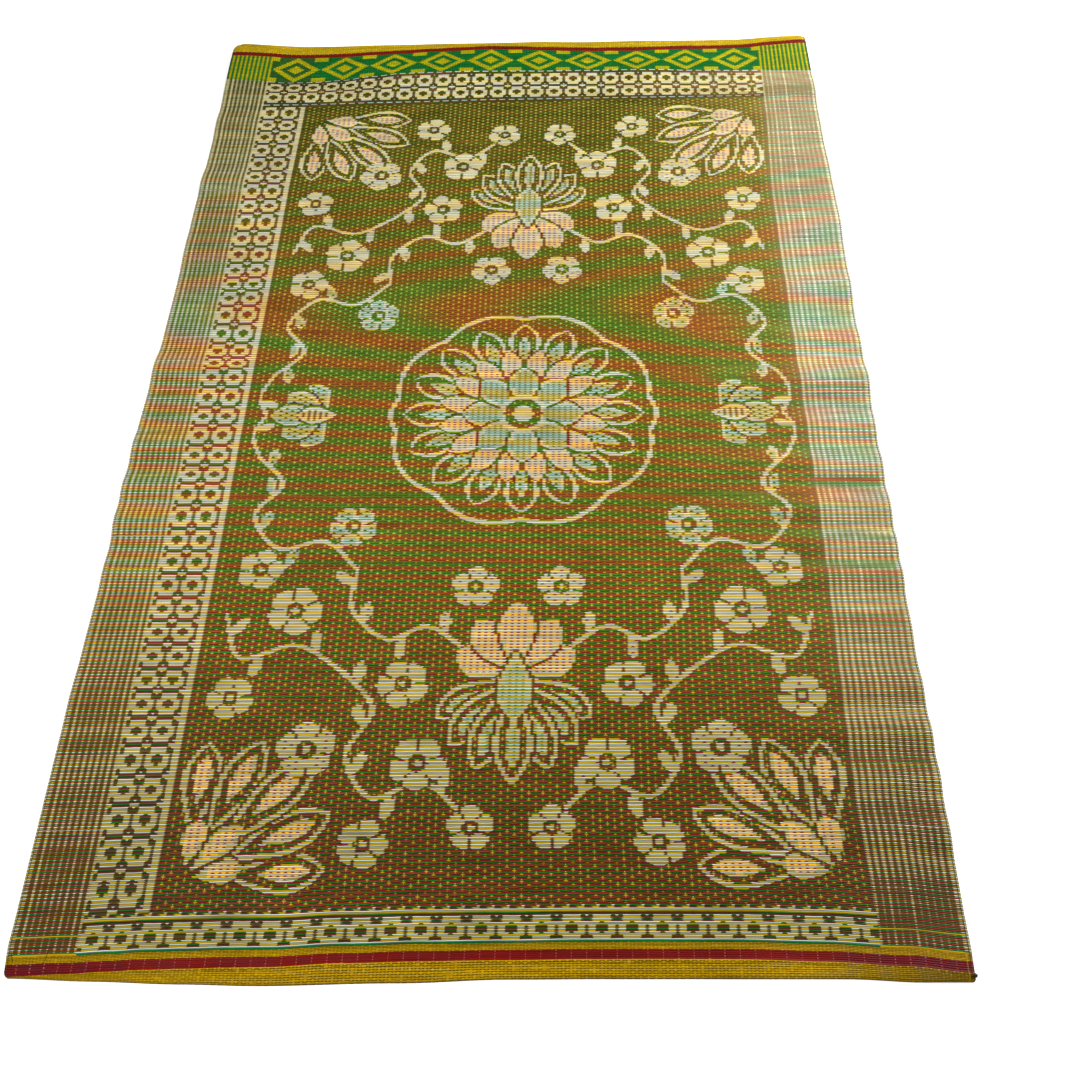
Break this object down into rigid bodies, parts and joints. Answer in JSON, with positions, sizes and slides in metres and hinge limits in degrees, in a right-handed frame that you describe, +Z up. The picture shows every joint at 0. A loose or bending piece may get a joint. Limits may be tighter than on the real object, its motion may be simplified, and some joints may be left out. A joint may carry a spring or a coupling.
{
  "type": "plastic floor mat",
  "caption": "Rectangular floor mat woven from coloured plastic straws, lying flat with slightly rippled long sides and a doubled hem at both short ends.",
  "frame": {"origin": "on the floor under the middle of the mat's outline", "axes": "+X across the mat, +Y along it towards the end with the wide green band, +Z up"},
  "size_m": [1.216, 1.9088, 0.0126],
  "materials": {
    "woven_straw": "woven flattened plastic straws with a soft gloss"
  },
  "bodies": {
    "root": {"floor_mat": "woven_straw"}
  },
  "joints": []
}
